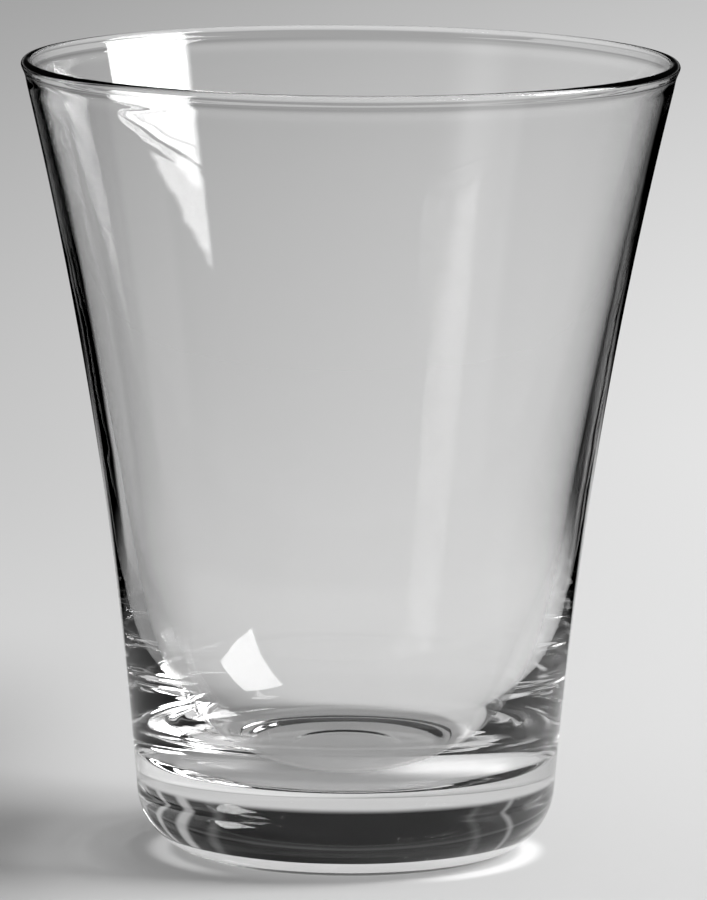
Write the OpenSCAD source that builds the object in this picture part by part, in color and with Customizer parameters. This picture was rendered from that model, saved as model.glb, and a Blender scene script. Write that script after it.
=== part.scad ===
// Double old fashioned glass: a flared tumbler of clear glass on a heavy base.
// Millimetres. The glass stands on the table at z = 0 and is round about the Z axis.

/* [Body] */
// Height from the table to the top of the lip
glass_h = 111; // [95:0.5:125]
// Outer diameter of the wall at the mouth, just under the lip bead
mouth_d = 90.7; // [82:0.1:100]
// Outer diameter of the wall at the height of the heel's centre
waist_d = 58.5; // [54:0.1:66]
// How far the flared wall bows in from a straight line
wall_bow = 2; // [0.5:0.1:3.5]

/* [Base] */
// Height of the heavy base, up to where the wall of the bowl starts
base_h = 22; // [20:0.5:30]
// Radius of the rounded heel
heel_r = 9.7; // [6:0.1:11]
// Width of the flat ring that the glass stands on
ring_w = 1; // [0.5:0.1:3]
// How far the underside is sunk inside that ring
sink = 0.7; // [0.1:0.05:1.5]
// Width of the slope from the ring to the sunk underside
sink_slope_w = 4.7; // [2:0.1:8]

/* [Cavity] */
// Height of the cavity floor above the table
floor_h = 12; // [8:0.1:14]
// Height of the rounded edge between the cavity floor and its side
floor_edge = 2; // [1.5:0.1:4]
// Wall thickness at the mouth
mouth_wall = 1.35; // [1:0.05:1.5]
// Thickness that the wall gains steadily from the mouth down to the floor edge
steady_gain = 2.4; // [1.5:0.1:3.5]
// Thickness that the wall gains close to the floor edge
base_gain = 5.7; // [3:0.1:6.5]

/* [Lip] */
// Thickness of the fire-polished bead around the mouth
lip_d = 1.6; // [1.55:0.05:2.4]

/* [Hidden] */
$fn = 180;
// How late each gain sets in on the way down: 1 would be an even taper
steady_power = 1.5;
base_power = 12;
// Straight steps that follow each of the two long wall curves
wall_steps = 36;
// Cutters run past the glass by this much
past = 5;
glass_tint = [0.82, 0.88, 0.9, 0.45];

// Points are [radius, height]. An arc over a chord is set by its rise from the chord.
function arc_radius(a, b, rise) = norm(b - a) ^ 2 / (8 * rise) + rise / 2;
function across(a, b) = [b.y - a.y, a.x - b.x] / norm(b - a);
// Radius at height z on the circle about c, on the side towards the axis
function near_side(c, r, z) = c.x - sqrt(r ^ 2 - (z - c.y) ^ 2);
// Heights that step evenly along a wall
function steps(low, high) = [for (i = [0:wall_steps]) low + (high - low) * i / wall_steps];

// Lip bead: a round bead whose chord at the neck is as wide as the wall there
lip_r = lip_d / 2;
neck_drop = sqrt(lip_r ^ 2 - (mouth_wall / 2) ^ 2);
lip_centre = [mouth_d / 2 - mouth_wall / 2, glass_h - lip_r];
neck_z = lip_centre.y - neck_drop;

// Outer wall: one arc from waist to mouth, its centre outside the glass
waist_point = [waist_d / 2, heel_r];
mouth_point = [mouth_d / 2, neck_z];
wall_r = arc_radius(waist_point, mouth_point, wall_bow);
wall_centre = (waist_point + mouth_point) / 2
    + (wall_r - wall_bow) * across(waist_point, mouth_point);

// Heel: an arc that touches the table and runs smoothly into the wall
heel_centre = [near_side(wall_centre, wall_r + heel_r, heel_r), heel_r];
heel_top_z = heel_centre.y
    + heel_r * (wall_centre.y - heel_centre.y) / (wall_r + heel_r);

// Side of the cavity: the outer wall less a thickness that grows towards the floor edge
edge_z = floor_h + floor_edge;
side_h = neck_z - edge_z;
function depth(z) = (neck_z - z) / side_h;
function thickness(z) = mouth_wall
    + steady_gain * depth(z) ^ steady_power
    + base_gain * depth(z) ^ base_power;
function outside(z) = near_side(wall_centre, wall_r, z);
function inside(z) = outside(z) - thickness(z);

// Bottom of the cavity: an arc that touches the floor and runs smoothly into the side
edge_slope = (edge_z - wall_centre.y) / (wall_centre.x - outside(edge_z))
    + (steady_gain * steady_power + base_gain * base_power) / side_h;
edge_lean = atan(edge_slope);
bottom_r = floor_edge / (1 - sin(edge_lean));
bottom_centre = [inside(edge_z) - bottom_r * cos(edge_lean), floor_h + bottom_r];

// Half outlines, with the radius along X and the height along Y

module band(low, high, from_r = 0) {
    translate([from_r, low])
        square([mouth_d, high - low]);
}

module disc_at(centre, r) {
    translate(centre)
        circle(r);
}

module outer_outline() {
    polygon([
        [0, heel_top_z],
        for (z = steps(heel_top_z, neck_z)) [outside(z), z],
        [0, neck_z]
    ]);
    square([heel_centre.x, heel_top_z]);
    intersection() {
        disc_at(heel_centre, heel_r);
        band(0, heel_top_z, heel_centre.x);
    }
}

module cavity_outline() {
    polygon([
        [0, edge_z],
        for (z = steps(edge_z, neck_z)) [inside(z), z],
        [inside(neck_z), neck_z + past],
        [0, neck_z + past]
    ]);
    translate([0, floor_h])
        square([bottom_centre.x, floor_edge]);
    intersection() {
        disc_at(bottom_centre, bottom_r);
        band(floor_h, edge_z, bottom_centre.x);
    }
}

module sunk_outline() {
    sunk_r = heel_centre.x - ring_w;
    polygon([
        [0, -past],
        [sunk_r, -past],
        [sunk_r, 0],
        [sunk_r - sink_slope_w, sink],
        [0, sink]
    ]);
}

module glass_outline() {
    difference() {
        outer_outline();
        cavity_outline();
        sunk_outline();
    }
}

// Solid base with the heel, the ring it stands on and the rounded floor of the cavity
module heavy_base() {
    color(glass_tint)
        rotate_extrude()
            intersection() {
                glass_outline();
                band(0, base_h);
            }
}

// Flared wall, thinning from the base to the mouth
module bowl_wall() {
    color(glass_tint)
        rotate_extrude()
            intersection() {
                glass_outline();
                band(base_h, neck_z);
            }
}

// Fire-polished bead that closes the wall at the mouth
module lip_bead() {
    color(glass_tint)
        rotate_extrude()
            intersection() {
                disc_at(lip_centre, lip_r);
                band(neck_z, glass_h + past);
            }
}

heavy_base();
bowl_wall();
lip_bead();
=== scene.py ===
import math

import bpy
import numpy as np
from mathutils import Matrix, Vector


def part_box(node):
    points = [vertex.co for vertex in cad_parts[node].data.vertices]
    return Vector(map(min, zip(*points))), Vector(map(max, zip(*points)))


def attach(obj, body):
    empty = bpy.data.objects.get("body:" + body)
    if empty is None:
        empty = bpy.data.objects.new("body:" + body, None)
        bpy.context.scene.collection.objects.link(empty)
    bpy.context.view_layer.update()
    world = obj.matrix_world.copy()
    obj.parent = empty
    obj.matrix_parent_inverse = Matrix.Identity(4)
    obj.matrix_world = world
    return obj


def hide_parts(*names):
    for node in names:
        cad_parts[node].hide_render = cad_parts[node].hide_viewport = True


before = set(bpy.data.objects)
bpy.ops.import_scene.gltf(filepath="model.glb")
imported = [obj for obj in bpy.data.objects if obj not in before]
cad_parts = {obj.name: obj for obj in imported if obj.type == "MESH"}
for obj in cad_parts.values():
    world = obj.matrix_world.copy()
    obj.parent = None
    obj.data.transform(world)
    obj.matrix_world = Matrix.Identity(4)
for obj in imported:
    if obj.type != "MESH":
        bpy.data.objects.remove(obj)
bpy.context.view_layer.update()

# The glass: a tumbler blown into a mould from one gather of clear, colourless glass.
# Its wall flares and thins towards the mouth, the base is left thick and solid, and the
# cut edge is melted back into a fine bead. The three CAD zones are one skin here.

MM = 0.001

# Outer wall, one arc from the heel to the mouth
glass_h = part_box("lip_bead")[1][2]
neck_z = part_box("bowl_wall")[1][2]
mouth_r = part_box("bowl_wall")[1][0]
waist_r = 29.25 * MM
wall_bow = 2.0 * MM
heel_r = 9.7 * MM

# Low steps in the underside: the radius at the middle of each flank, its height and its width
step_r = np.array([18.2, 15.6, 8.0]) * MM
step_h = np.array([0.2, 0.5, 0.13]) * MM
step_w = np.array([1.4, 3.6, 2.0]) * MM

# Cavity: its floor, and a wall that gains thickness steadily and then quickly on the way down
floor_h = 12.0 * MM
floor_edge = 2.0 * MM
edge_z = floor_h + floor_edge
mouth_wall = 1.35 * MM
steady_gain = 2.4 * MM
steady_power = 1.5
base_gain = 5.7 * MM
base_power = 12

# Lip: a slight swelling that fades downwards, over a slight neck
lip_swell = 0.17 * MM
lip_fade = 0.8 * MM
neck_pinch = 0.05 * MM
neck_drop = 1.6 * MM
lip_zone = 5 * MM

# Points on each stretch of the outline, and spokes round the axis
under_count = 120
heel_count = 40
wall_count = 60
lip_count = 24
lip_top_count = 18
side_count = 90
bottom_count = 30
floor_count = 8
spokes = 240


def turned_arc(centre, radius, start, end, count):
    """Points on a circle in the (radius, height) plane, from angle start to angle end."""
    angle = np.linspace(start, end, count)
    return np.stack([centre[0] + radius * np.cos(angle), centre[1] + radius * np.sin(angle)], axis=1)


def chord_arc(low, high, bow):
    """Centre and radius of the arc over a chord: chord squared / (8 bow) + bow / 2."""
    run = high - low
    chord = math.hypot(*run)
    radius = chord ** 2 / (8 * bow) + bow / 2
    outwards = np.array([run[1], -run[0]]) / chord
    return (low + high) / 2 + (radius - bow) * outwards, radius


wall_centre, wall_radius = chord_arc(
    np.array([waist_r, heel_r]), np.array([mouth_r, neck_z]), wall_bow)


def outside(z):
    """Outer radius of the wall at a height: the near side of the wall's large circle."""
    return wall_centre[0] - np.sqrt(wall_radius ** 2 - (z - wall_centre[1]) ** 2)


def thickness(z):
    """Wall: the mouth's, plus a gain times depth to a low power, plus a gain times it to a high one."""
    depth = np.clip((neck_z - z) / (neck_z - edge_z), 0, None)
    return mouth_wall + steady_gain * depth ** steady_power + base_gain * depth ** base_power


def inside(z):
    """Radius of the cavity's side at a height: the outer radius less the thickness."""
    return outside(z) - thickness(z)


def underside(r):
    """Height of the underside: the sum of the steps, each a smooth rise across its flank."""
    part = np.clip((step_r + step_w / 2 - r[:, None]) / step_w, 0, 1)
    return ((3 - 2 * part) * part ** 2 * step_h).sum(axis=1)


def glass_outline():
    """Half section from the middle of the underside, out, up, over the lip and down to the floor."""
    heel_x = wall_centre[0] - math.sqrt((wall_radius + heel_r) ** 2 - (heel_r - wall_centre[1]) ** 2)
    heel_end = math.atan2(wall_centre[1] - heel_r, wall_centre[0] - heel_x)
    heel = turned_arc((heel_x, heel_r), heel_r, -math.pi / 2, heel_end, heel_count)
    under_r = np.linspace(0, heel_x, under_count)[:-1]
    under = np.stack([under_r, underside(under_r)], axis=1)

    # The lip swells outwards from the wall to a bead over a slight neck, then closes in a half circle
    lip_r = (mouth_wall + lip_swell) / 2
    low_z = neck_z - lip_zone
    wall_z = np.linspace(heel[-1, 1], low_z, wall_count)[1:]
    wall = np.stack([outside(wall_z), wall_z], axis=1)
    rise = np.linspace(low_z, glass_h - lip_r, lip_count)[1:]
    drop = glass_h - lip_r - rise
    bead = lip_swell * np.exp(-(drop / lip_fade) ** 2)
    neck = neck_pinch * np.exp(-((drop - neck_drop) / (neck_drop / 2)) ** 2)
    lip_out = np.stack([outside(rise) + bead - neck, rise], axis=1)
    lip_in = np.stack([inside(rise), rise], axis=1)[::-1]
    lip_x = (lip_out[-1, 0] + lip_in[0, 0]) / 2
    lip_top = turned_arc((lip_x, rise[-1]), lip_out[-1, 0] - lip_x, 0, math.pi, lip_top_count)[1:-1]

    # The side runs smoothly into an arc that touches the flat floor
    side_z = np.linspace(low_z, edge_z, side_count)
    side = np.stack([inside(side_z), side_z], axis=1)
    step = 0.01 * MM
    slope = (inside(edge_z + step) - inside(edge_z - step)) / (2 * step)
    tilt = math.atan(slope)
    bottom_r = floor_edge / (1 - math.sin(tilt))
    bottom_x = inside(edge_z) - bottom_r * math.cos(tilt)
    bottom_centre = (bottom_x, floor_h + bottom_r)
    bottom = turned_arc(bottom_centre, bottom_r, -tilt, -math.pi / 2, bottom_count)[1:]
    floor_x = np.linspace(bottom_x, 0, floor_count)[1:]
    floor = np.stack([floor_x, np.full_like(floor_x, floor_h)], axis=1)
    return np.concatenate([under, heel, wall, lip_out, lip_top, lip_in, side, bottom, floor])


def turn_about_z(outline):
    """Each outline point (r, z) is carried round to (r cos a, r sin a, z); both ends are poles."""
    ring = outline[1:-1]
    rows = len(ring)
    angle = np.linspace(0, 2 * math.pi, spokes, endpoint=False)
    grid = np.empty((rows, spokes, 3))
    grid[..., 0] = ring[:, None, 0] * np.cos(angle)
    grid[..., 1] = ring[:, None, 0] * np.sin(angle)
    grid[..., 2] = ring[:, None, 1]
    poles = np.array([[0, 0, outline[0, 1]], [0, 0, outline[-1, 1]]])
    points = np.concatenate([grid.reshape(-1, 3), poles])

    here = np.arange(spokes)
    after = (here + 1) % spokes
    row = np.arange(rows - 1)[:, None] * spokes
    quads = np.stack([row + here, row + after, row + spokes + after, row + spokes + here], axis=-1)
    low_pole = rows * spokes
    high_pole = low_pole + 1
    last_row = (rows - 1) * spokes
    fan_low = np.stack([np.full(spokes, low_pole), after, here], axis=-1)
    fan_high = np.stack([np.full(spokes, high_pole), last_row + here, last_row + after], axis=-1)
    return points, quads.reshape(-1, 4), np.concatenate([fan_low, fan_high])


def skin(name, points, quads, triangles):
    """A smooth mesh object at the origin from arrays of points, quads and triangles."""
    mesh = bpy.data.meshes.new(name)
    corners = np.concatenate([quads.ravel(), triangles.ravel()])
    sizes = np.concatenate([np.full(len(quads), 4), np.full(len(triangles), 3)])
    mesh.vertices.add(len(points))
    mesh.vertices.foreach_set("co", points.ravel())
    mesh.loops.add(len(corners))
    mesh.loops.foreach_set("vertex_index", corners.astype(np.int32))
    mesh.polygons.add(len(sizes))
    mesh.polygons.foreach_set("loop_start", (np.cumsum(sizes) - sizes).astype(np.int32))
    mesh.polygons.foreach_set("loop_total", sizes.astype(np.int32))
    mesh.polygons.foreach_set("use_smooth", np.ones(len(sizes), dtype=bool))
    mesh.update(calc_edges=True)
    piece = bpy.data.objects.new(name, mesh)
    bpy.context.scene.collection.objects.link(piece)
    return piece


def node(tree, kind, **settings):
    """A new node of a kind, with its settings."""
    made = tree.nodes.new(kind)
    for key, value in settings.items():
        setattr(made, key, value)
    return made


def math_node(tree, operation, a, b=0.0):
    """Arithmetic on two numbers or sockets."""
    made = node(tree, "ShaderNodeMath", operation=operation)
    for socket, value in zip(made.inputs, (a, b)):
        if isinstance(value, bpy.types.NodeSocket):
            tree.links.new(value, socket)
        else:
            socket.default_value = value
    return made.outputs[0]


def ramp_node(tree, value, reach, tones=(0.0, 1.0)):
    """Smooth step from the first tone to the second, as a value runs over a reach."""
    made = node(tree, "ShaderNodeMapRange", interpolation_type="SMOOTHSTEP")
    tree.links.new(value, made.inputs["Value"])
    made.inputs["From Min"].default_value = reach[0]
    made.inputs["From Max"].default_value = reach[1]
    made.inputs["To Min"].default_value = tones[0]
    made.inputs["To Max"].default_value = tones[1]
    return made.outputs[0]


clear_glass = bpy.data.materials.new("clear_glass")
clear_glass.use_nodes = True
glass_tree = clear_glass.node_tree
glass_shader = glass_tree.nodes["Principled BSDF"]
glass_shader.inputs["Base Color"].default_value = (0.98, 0.98, 0.98, 1)
glass_shader.inputs["IOR"].default_value = 1.52
glass_shader.inputs["Transmission Weight"].default_value = 1.0

# Forming leaves low waves in the skin, some even and some drawn out round the glass where the mould
# turned on it, and use rubs the ring that the glass stands on a little dull.

wave_height = 4e-5
wave_scale = 45.0
drawn_height = 2e-5
drawn_scale = 60.0
drawn_stretch = (0.5, 0.5, 2.5)
wave_detail = 2.0
worn_reach = (0.02 * MM, 0.06 * MM)
worn_rough = 0.35
rub_scale = 900.0

skin_place = node(glass_tree, "ShaderNodeTexCoord").outputs["Object"]


def skin_waves(stretch, scale, height):
    """Height of low waves in metres: smooth noise, drawn out by a stretch along each axis."""
    drawn = node(glass_tree, "ShaderNodeVectorMath", operation="MULTIPLY")
    glass_tree.links.new(skin_place, drawn.inputs[0])
    drawn.inputs[1].default_value = stretch
    wave = node(glass_tree, "ShaderNodeTexNoise")
    glass_tree.links.new(drawn.outputs[0], wave.inputs["Vector"])
    wave.inputs["Scale"].default_value = scale
    wave.inputs["Detail"].default_value = wave_detail
    return math_node(glass_tree, "MULTIPLY", wave.outputs[0], height)


even_waves = skin_waves((1, 1, 1), wave_scale, wave_height)
drawn_waves = skin_waves(drawn_stretch, drawn_scale, drawn_height)
bump = node(glass_tree, "ShaderNodeBump")
bump.inputs["Distance"].default_value = 1.0
glass_tree.links.new(math_node(glass_tree, "ADD", even_waves, drawn_waves), bump.inputs["Height"])
glass_tree.links.new(bump.outputs["Normal"], glass_shader.inputs["Normal"])

skin_axes = node(glass_tree, "ShaderNodeSeparateXYZ")
glass_tree.links.new(skin_place, skin_axes.inputs[0])
rub = node(glass_tree, "ShaderNodeTexNoise")
glass_tree.links.new(skin_place, rub.inputs["Vector"])
rub.inputs["Scale"].default_value = rub_scale
worn = ramp_node(glass_tree, skin_axes.outputs["Z"], worn_reach, (worn_rough, 0.0))
dull = math_node(glass_tree, "MULTIPLY", worn, rub.outputs[0])
glass_tree.links.new(dull, glass_shader.inputs["Roughness"])

tumbler = skin("tumbler", *turn_about_z(glass_outline()))
tumbler.data.materials.append(clear_glass)
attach(tumbler, "root")
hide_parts("heavy_base", "bowl_wall", "lip_bead")
tumbler.cycles.is_caustics_caster = True

# The table: a pale sheet that the glass stands on, with its shadow, and painted shade at its left.
# Near the glass it is lit by the lamps; further out it runs into a glowing pale ground, with painted light
# falloff.
# Mirrored in the glass it is painted dark, but for painted reflections of pale cards round the glass.

table_size = 40.0
table_drop = 0.05 * MM
table_mesh = bpy.data.meshes.new("table")
table_mesh.from_pydata(
    [(-table_size, -table_size, 0), (table_size, -table_size, 0),
     (table_size, table_size, 0), (-table_size, table_size, 0)], [], [(0, 1, 2, 3)])
table = bpy.data.objects.new("table", table_mesh)
table.location.z = -table_drop
bpy.context.scene.collection.objects.link(table)
table.cycles.is_caustics_receiver = True


def seen_straight(tree):
    """Socket that is 1 before any mirror or matt bounce and 0 after one, and its Light Path node."""
    path = node(tree, "ShaderNodeLightPath")
    bounced = math_node(tree, "ADD", path.outputs["Glossy Depth"], path.outputs["Diffuse Depth"])
    return math_node(tree, "LESS_THAN", bounced, 0.5), path


def pale_spans(tree, turn, spans, edge):
    """Sum over the spans (start, end, tone) of tone times a smooth window of the angle, in degrees."""
    total = 0.0
    for start, end, tone in spans:
        rise = ramp_node(tree, turn, (math.radians(start), math.radians(start + edge)))
        fall = ramp_node(tree, turn, (math.radians(end - edge), math.radians(end)), (tone, 0.0))
        total = math_node(tree, "ADD", math_node(tree, "MULTIPLY", rise, fall), total)
    return total


table_paint = bpy.data.materials.new("pale_table")
table_paint.use_nodes = True
tree = table_paint.node_tree
tree.nodes.clear()
table_place = node(tree, "ShaderNodeNewGeometry").outputs["Position"]
axes = node(tree, "ShaderNodeSeparateXYZ")
tree.links.new(table_place, axes.inputs[0])
flat = node(tree, "ShaderNodeVectorMath", operation="LENGTH")
tree.links.new(table_place, flat.inputs[0])
distance = flat.outputs["Value"]
# Angles are turns to the right from straight behind the glass
turn = math_node(tree, "ARCTAN2", axes.outputs["X"], axes.outputs["Y"])
straight, path = seen_straight(tree)
mirrored = math_node(tree, "SUBTRACT", 1.0, straight)

# Near the glass the sheet is matt; painted shade deepens its colour at the left
matt_tone = 0.68
painted_shade_tone = 0.26
painted_shade_side = (-0.07, -0.03)
painted_shade_reach = (0.09, 0.2)
left_painted_shade = ramp_node(tree, axes.outputs["X"], painted_shade_side, (painted_shade_tone, 0.0))
painted_shade = math_node(tree, "MULTIPLY", left_painted_shade, ramp_node(tree, distance, painted_shade_reach, (1.0, 0.0)))
matt = node(tree, "ShaderNodeBsdfDiffuse")
tree.links.new(math_node(tree, "SUBTRACT", matt_tone, painted_shade), matt.inputs["Color"])

# Painted light: a glow in the sheet stands for light the glass would gather, a pool beneath it and two
# soft crescents round its foot
painted_pool_tone = 0.18
painted_pool_reach = (0.018, 0.03)
painted_ring_from = (0.0235, 0.0255)
painted_ring_to = (0.026, 0.0285)
painted_crescent_spans = [(60, 165, 0.34), (-150, -40, 0.2)]
painted_crescent_edge = 30
painted_pool = ramp_node(tree, distance, painted_pool_reach, (painted_pool_tone, 0.0))
painted_ring_rise = ramp_node(tree, distance, painted_ring_from)
painted_ring_fall = ramp_node(tree, distance, painted_ring_to, (1.0, 0.0))
painted_foot_ring = math_node(tree, "MULTIPLY", painted_ring_rise, painted_ring_fall)
painted_crescents = math_node(tree, "MULTIPLY", painted_foot_ring, pale_spans(tree, turn, painted_crescent_spans, painted_crescent_edge))
painted_caustic_glow = node(tree, "ShaderNodeEmission")
tree.links.new(math_node(tree, "ADD", painted_pool, painted_crescents), painted_caustic_glow.inputs["Strength"])
lit_and_painted_glow = node(tree, "ShaderNodeAddShader")
tree.links.new(matt.outputs[0], lit_and_painted_glow.inputs[0])
tree.links.new(painted_caustic_glow.outputs[0], lit_and_painted_glow.inputs[1])

# The pale ground glows; painted light falloff makes it brighter near the glass and towards the right, and
# it is even far out
near_ground = 0.7
far_ground = 0.4
ground_reach = (0.1, 1.6)
painted_lean_tone = 0.25
painted_lean_side = (-0.15, 0.15)
painted_lean_reach = (1.5, 4.0)
painted_right_ramp = ramp_node(tree, axes.outputs["X"], painted_lean_side, (-painted_lean_tone, painted_lean_tone))
painted_lean = math_node(tree, "MULTIPLY", painted_right_ramp, ramp_node(tree, distance, painted_lean_reach, (1.0, 0.0)))
painted_side_tone = math_node(tree, "ADD", 1.0, painted_lean)
painted_falloff_tone = ramp_node(tree, distance, ground_reach, (near_ground, far_ground))
painted_ground_tone = math_node(tree, "MULTIPLY", painted_side_tone, painted_falloff_tone)

# Painted reflections: pale card shapes glow in the sheet only for rays led on inside the wall, which have
# crossed its skin twice.
# Close to the glass there is one more for them, and one for what the outside of the glass mirrors at once.
painted_card_spans = [(-111, -81, 1.0), (-66, -36, 1.0), (-21, 9, 1.0), (114, 144, 1.0), (24, 38, 0.4)]
painted_near_led_spans = [(3, 24, 1.0)]
painted_near_first_spans = [(-28, 28, 1.0)]
near_reach = (0.28, 0.44)
painted_card_edge = 6
led_crossings = 2.0
led = math_node(tree, "COMPARE", path.outputs["Transmission Depth"], led_crossings)
first = math_node(tree, "LESS_THAN", path.outputs["Transmission Depth"], 0.5)
near = ramp_node(tree, distance, near_reach, (1.0, 0.0))
painted_near_led = math_node(tree, "MULTIPLY", near, pale_spans(tree, turn, painted_near_led_spans, painted_card_edge))
painted_all_led = math_node(tree, "MAXIMUM", painted_near_led, pale_spans(tree, turn, painted_card_spans, painted_card_edge))
painted_led_cards = math_node(tree, "MULTIPLY", led, painted_all_led)
painted_near_first = math_node(tree, "MULTIPLY", near, pale_spans(tree, turn, painted_near_first_spans, painted_card_edge))
painted_first_cards = math_node(tree, "MULTIPLY", first, painted_near_first)
painted_cards = math_node(tree, "ADD", painted_led_cards, painted_first_cards)

# The lit sheet runs into the ground, and what is mirrored without a painted card is painted dark
lit_reach = (0.12, 0.40)
dark_reach = (0.10, 0.18)
shown = math_node(tree, "ADD", straight, math_node(tree, "MULTIPLY", mirrored, painted_cards))
ground_and_painted_cards = node(tree, "ShaderNodeEmission")
tree.links.new(math_node(tree, "MULTIPLY", painted_ground_tone, shown), ground_and_painted_cards.inputs["Strength"])
sheet = node(tree, "ShaderNodeMixShader")
tree.links.new(ramp_node(tree, distance, lit_reach), sheet.inputs[0])
tree.links.new(lit_and_painted_glow.outputs[0], sheet.inputs[1])
tree.links.new(ground_and_painted_cards.outputs[0], sheet.inputs[2])
painted_dark = node(tree, "ShaderNodeEmission")
painted_dark.inputs["Strength"].default_value = 0.0
far_mirrored = math_node(tree, "MULTIPLY", mirrored, ramp_node(tree, distance, dark_reach))
painted_dark_mask = math_node(tree, "MULTIPLY", far_mirrored, math_node(tree, "SUBTRACT", 1.0, painted_cards))
surround = node(tree, "ShaderNodeMixShader")
tree.links.new(painted_dark_mask, surround.inputs[0])
tree.links.new(sheet.outputs[0], surround.inputs[1])
tree.links.new(painted_dark.outputs[0], surround.inputs[2])
table_out = node(tree, "ShaderNodeOutputMaterial")
tree.links.new(surround.outputs[0], table_out.inputs["Surface"])
table_mesh.materials.append(table_paint)

# The room: dim, with a pale backdrop low down that shows through the glass, and a few upright pale
# lights above it that streak the dark band of the base. Seen past the glass it has the ground's tone.

fill_tone = 0.4
backdrop_tone = 0.6
backdrop_rise = (0.09, 0.16)
room_spans = [(27, 33, 0.08), (38, 46, 0.4), (52, 59, 0.45), (66, 80, 0.4),
              (-32, -27, 0.07), (-45, -40, 0.28)]
room_edge = 3
lights_from = (0.1, 0.16)
lights_to = (0.5, 0.6)
horizon_tones = (0.24, 0.005)
horizon_rise = (0.0, 0.12)

world = bpy.data.worlds.new("studio")
bpy.context.scene.world = world
world.use_nodes = True
tree = world.node_tree
tree.nodes.clear()
straight, path = seen_straight(tree)
mirrored = math_node(tree, "SUBTRACT", 1.0, straight)
camera_ray = path.outputs["Is Camera Ray"]
gaze = node(tree, "ShaderNodeTexCoord").outputs["Generated"]
axes = node(tree, "ShaderNodeSeparateXYZ")
tree.links.new(gaze, axes.inputs[0])
height = axes.outputs["Z"]
turn = math_node(tree, "ARCTAN2", axes.outputs["X"], axes.outputs["Y"])

matt_bounce = math_node(tree, "GREATER_THAN", path.outputs["Diffuse Depth"], 0.5)
fill = math_node(tree, "MULTIPLY", matt_bounce, fill_tone)
low_backdrop = ramp_node(tree, height, backdrop_rise, (backdrop_tone, 0.0))
lights_low = ramp_node(tree, height, lights_from)
lights_high = ramp_node(tree, height, lights_to, (1.0, 0.0))
lit_height = math_node(tree, "MULTIPLY", lights_low, lights_high)
room_lights = math_node(tree, "MULTIPLY", lit_height, pale_spans(tree, turn, room_spans, room_edge))
backdrop = math_node(tree, "ADD", low_backdrop, room_lights)
direct = math_node(tree, "MULTIPLY", camera_ray, far_ground)
through = math_node(tree, "SUBTRACT", straight, camera_ray)
seen = math_node(tree, "ADD", direct, math_node(tree, "MULTIPLY", through, backdrop))
horizon = math_node(tree, "MULTIPLY", mirrored, ramp_node(tree, height, horizon_rise, horizon_tones))
room = math_node(tree, "ADD", math_node(tree, "ADD", fill, seen), horizon)
sky = node(tree, "ShaderNodeBackground")
sky.inputs["Color"].default_value = (1, 1, 1, 1)
tree.links.new(room, sky.inputs["Strength"])
room_out = node(tree, "ShaderNodeOutputWorld")
tree.links.new(sky.outputs[0], room_out.inputs["Surface"])

# The windows: a large one at the right, whose sill slants, lights the glass. A small bright patch
# stands high at the right rear, and a weak, soft window at the front left fills the shade.


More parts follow.
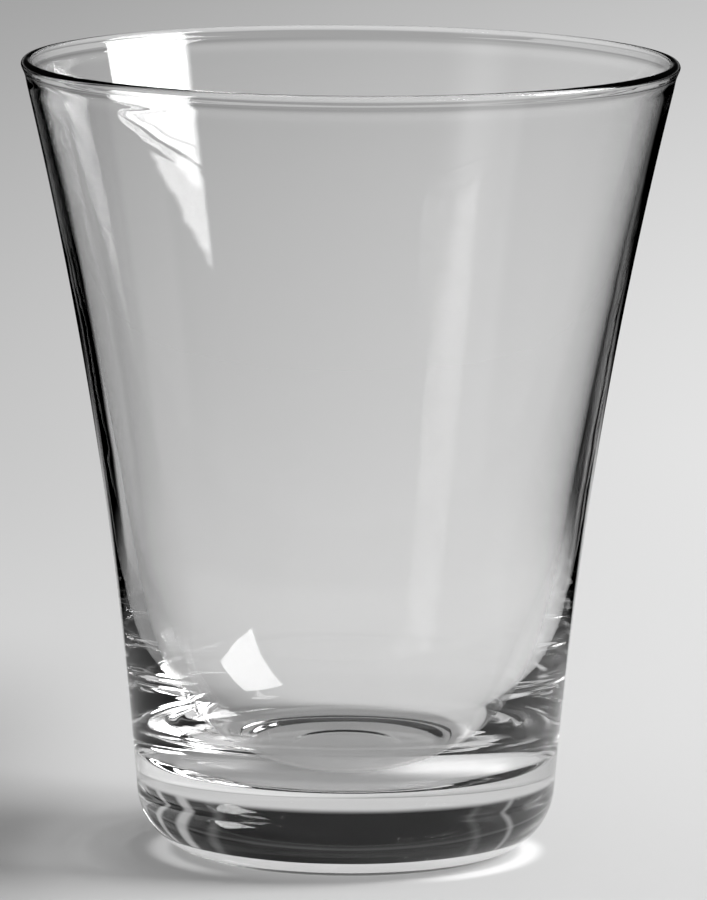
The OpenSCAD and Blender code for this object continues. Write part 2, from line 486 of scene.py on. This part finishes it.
def soft_window(name, place, aim, size, power, soft, sill=(0.0, 0.0)):
    """A rectangular lamp that faces a point; it fades over a share of its edges, above a straight sill."""
    lamp = bpy.data.lights.new(name, "AREA")
    lamp.shape = "RECTANGLE"
    lamp.size = size[0]
    lamp.size_y = size[1]
    lamp.energy = power
    lamp.cycles.is_caustics_light = True
    lamp.use_nodes = True
    tree = lamp.node_tree
    spot = node(tree, "ShaderNodeNewGeometry").outputs["Parametric"]
    axes = node(tree, "ShaderNodeSeparateXYZ")
    tree.links.new(spot, axes.inputs[0])
    glow = 1.0
    for side, edge in zip("XY", soft):
        off = math_node(tree, "ABSOLUTE", math_node(tree, "SUBTRACT", axes.outputs[side], 0.5))
        glow = math_node(tree, "MULTIPLY", ramp_node(tree, off, (0.5 - edge, 0.5), (1.0, 0.0)), glow)
    sill_rise = math_node(tree, "MULTIPLY", axes.outputs["X"], sill[1] - sill[0])
    sill_line = math_node(tree, "ADD", sill_rise, sill[0])
    above = math_node(tree, "SUBTRACT", axes.outputs["Y"], sill_line)
    glow = math_node(tree, "MULTIPLY", ramp_node(tree, above, (0.0, soft[1])), glow)
    tree.links.new(glow, tree.nodes["Emission"].inputs["Strength"])

    backwards = np.array(place, float) - np.array(aim, float)
    backwards /= np.linalg.norm(backwards)
    across = np.cross((0, 0, 1), backwards)
    across /= np.linalg.norm(across)
    pose = np.eye(4)
    pose[:3, 0] = across
    pose[:3, 1] = np.cross(backwards, across)
    pose[:3, 2] = backwards
    pose[:3, 3] = place
    holder = bpy.data.objects.new(name, lamp)
    holder.matrix_world = Matrix(pose.tolist())
    holder.visible_camera = False
    bpy.context.scene.collection.objects.link(holder)


soft_window("key_window", place=(0.757, 0.007, 0.445), aim=(-0.028, 0.627, 0.445),
            size=(0.66, 0.49), power=14.0, soft=(0.06, 0.03), sill=(0.0, 0.18))
soft_window("sun_patch", place=(0.75, 0.2, 0.85), aim=(0, 0, 0.03),
            size=(0.35, 0.35), power=2.0, soft=(0.1, 0.1))
soft_window("fill_window", place=(-0.73, -0.57, 0.35), aim=(0, 0, 0.05),
            size=(0.55, 0.6), power=0.75, soft=(0.5, 0.5))

# The camera stands in front and a little above, as the photograph was taken, with a long lens.
# It looks slightly down and is rolled by less than half a degree.

image_h = 900
focal_px = 9709.0
sensor_w = 36.0
stand_off = 1.3361
eye_h = 0.25783
pitch = math.radians(8.576)
yaw = math.radians(0.033)
roll = math.radians(0.416)
sight_end = 200.0

camera_data = bpy.data.cameras.new("camera")
camera_data.sensor_width = sensor_w
camera_data.lens = focal_px * sensor_w / image_h
camera_data.clip_end = sight_end
camera = bpy.data.objects.new("camera", camera_data)
bpy.context.scene.collection.objects.link(camera)
bpy.context.scene.camera = camera
ahead = np.array([math.sin(yaw) * math.cos(pitch), math.cos(yaw) * math.cos(pitch), -math.sin(pitch)])
level = np.array([math.cos(yaw), -math.sin(yaw), 0.0])
upright = np.cross(level, ahead)
camera_pose = np.eye(4)
camera_pose[:3, 0] = math.cos(roll) * level + math.sin(roll) * upright
camera_pose[:3, 1] = math.cos(roll) * upright - math.sin(roll) * level
camera_pose[:3, 2] = -ahead
camera_pose[:3, 3] = (0, -stand_off, eye_h)
camera.matrix_world = Matrix(camera_pose.tolist())

bpy.context.scene.view_settings.view_transform = "Standard"

# Light is followed far enough to run round inside the thick wall of the base

light_paths = bpy.context.scene.cycles
light_paths.max_bounces = 32
light_paths.glossy_bounces = 24
light_paths.transmission_bounces = 32
